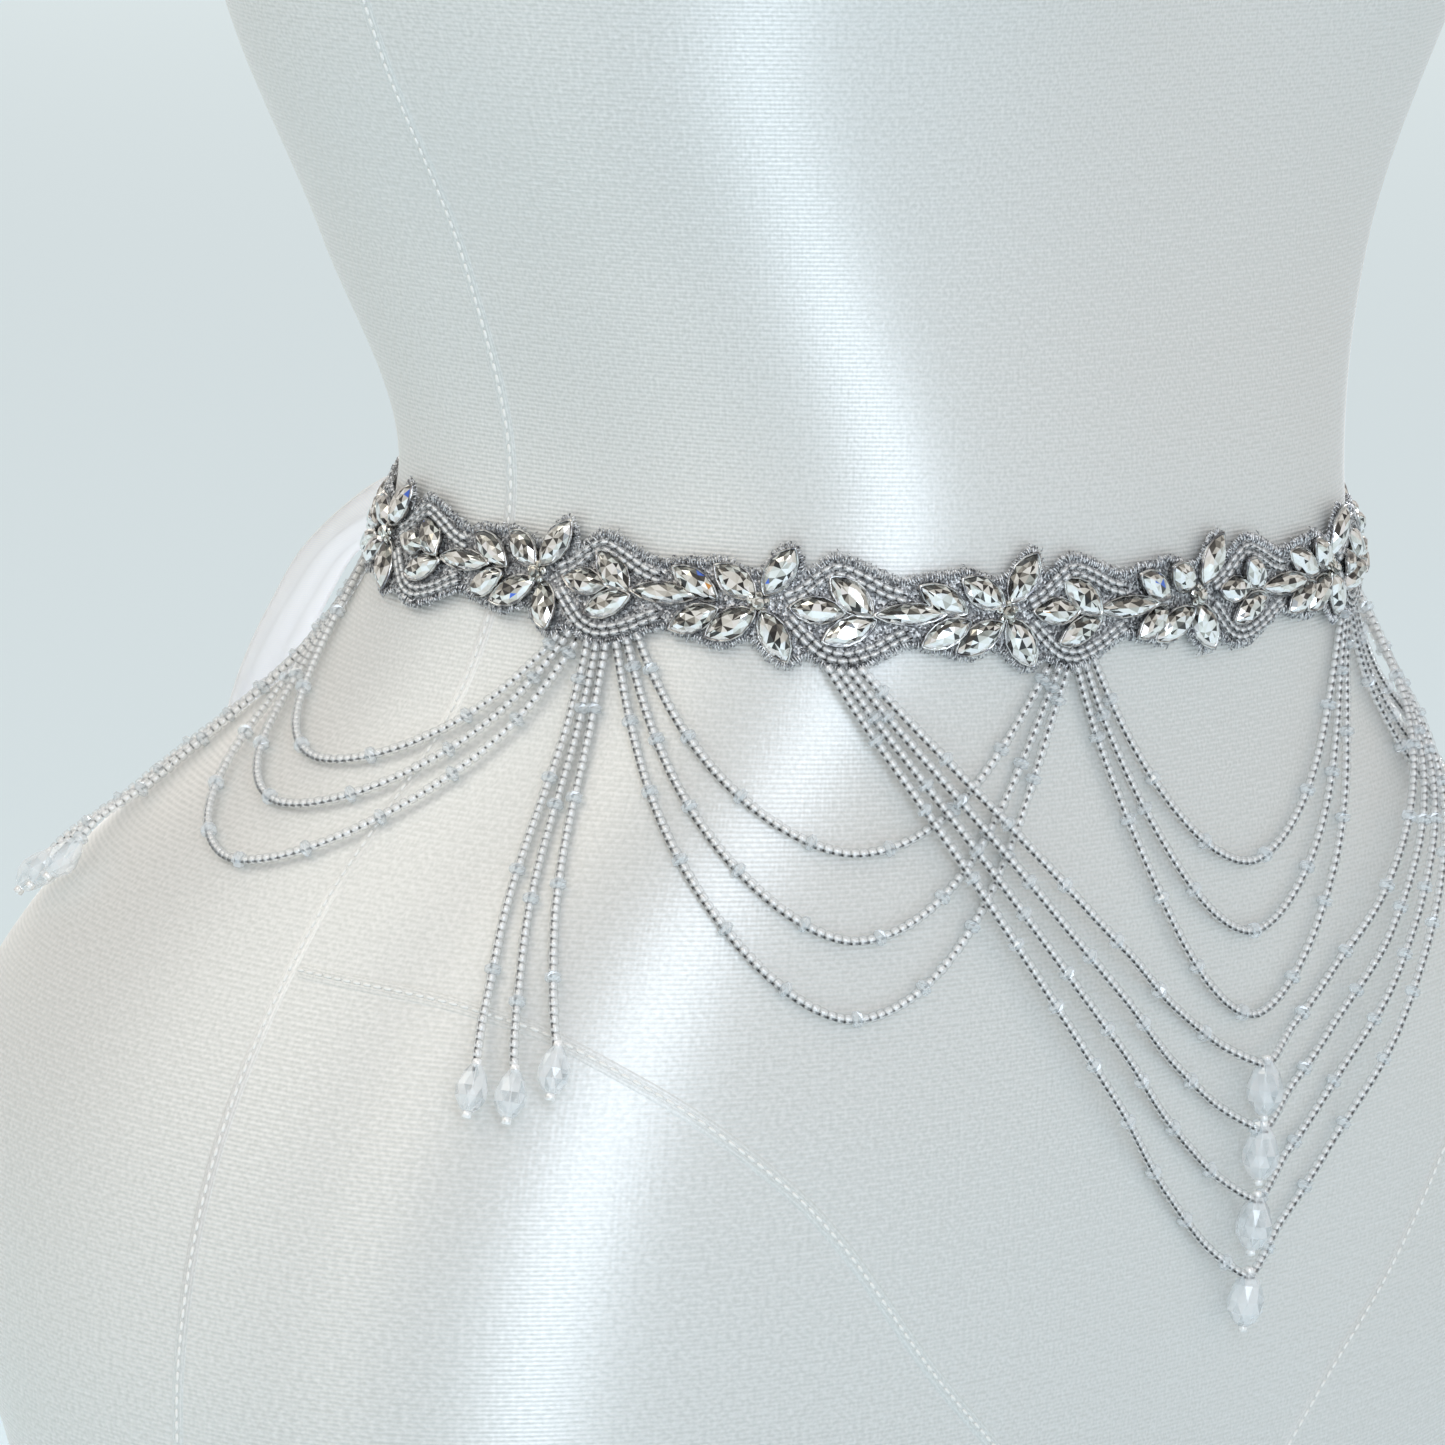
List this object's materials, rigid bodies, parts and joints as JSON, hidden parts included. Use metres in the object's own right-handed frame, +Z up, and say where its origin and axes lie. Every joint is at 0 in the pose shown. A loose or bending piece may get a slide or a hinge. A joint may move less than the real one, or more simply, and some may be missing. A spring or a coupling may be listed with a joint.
{
  "type": "bridal sash on limbless dress form",
  "caption": "Belt of jewelled net applique with beaded swags, tassels and a deep front drape, tied by a satin bow behind, worn by a limbless dress form",
  "frame": {"origin": "middle of the dress form's flat base, on the floor", "axes": "+Z up, -Y the front of the form, +X the form's left"},
  "size_m": [0.3946, 0.2769, 0.756],
  "materials": {
    "cover_satin": "off-white satin cover with a fine rib",
    "net": "grey net backing with crystals and silver thread",
    "beads": "silver-lined clear glass beads on thread",
    "ribbon_satin": "white satin ribbon"
  },
  "bodies": {
    "root": {"dress_form": "cover_satin", "applique": "net", "swag_1": "beads", "swag_2": "beads", "swag_3": "beads", "swag_4": "beads", "swag_5": "beads", "tassel_1": "beads", "tassel_2": "beads", "tassel_3": "beads", "tassel_4": "beads", "front_drape": "beads", "ribbon_left": "ribbon_satin", "ribbon_right": "ribbon_satin", "bow_knot": "ribbon_satin", "bow_loop_right": "ribbon_satin", "bow_loop_left": "ribbon_satin", "bow_tail_right": "ribbon_satin", "bow_tail_left": "ribbon_satin"}
  },
  "joints": []
}
